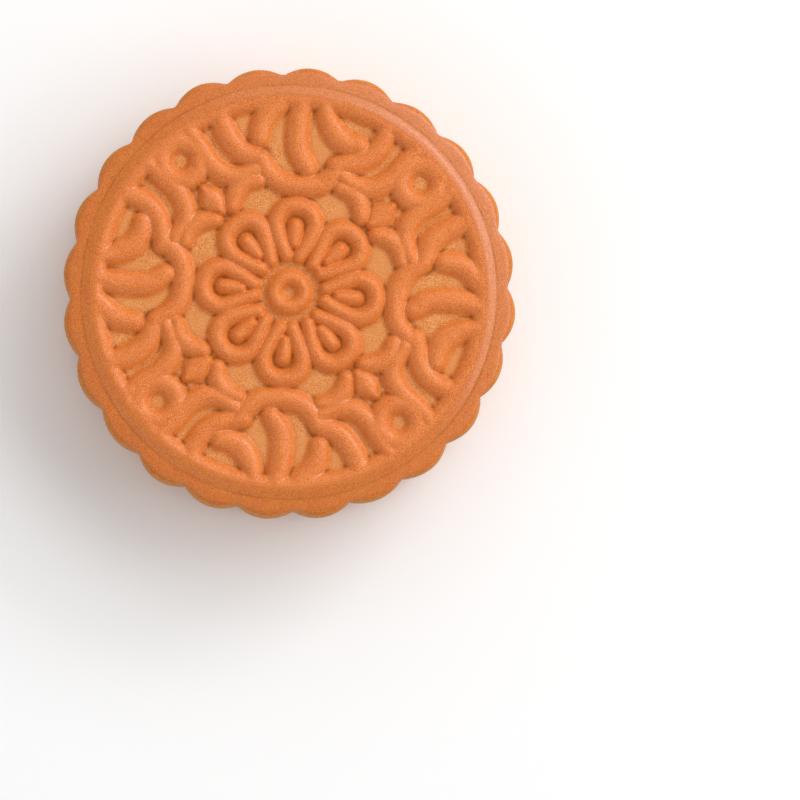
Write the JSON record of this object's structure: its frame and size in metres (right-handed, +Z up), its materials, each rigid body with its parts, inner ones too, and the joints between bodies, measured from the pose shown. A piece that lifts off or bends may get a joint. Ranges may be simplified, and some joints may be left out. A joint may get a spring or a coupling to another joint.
{
  "type": "mooncake",
  "caption": "Low round baked filled pastry with fluted sides, a plain raised border and rope-like cloud and blossom relief moulded on its top, to serve whole or cut.",
  "frame": {"origin": "centre of the cake's flat underside, where it rests", "axes": "+Z up out of the moulded top, +Y towards the middle of one of the cloud panels, +X to the right of it seen from above"},
  "size_m": [0.0798, 0.0796, 0.026],
  "materials": {
    "crust": "baked egg-washed pastry crust, satin, orange-brown on the relief and paler tan in the sunk floor"
  },
  "bodies": {
    "root": {"mooncake": "crust"}
  },
  "joints": []
}
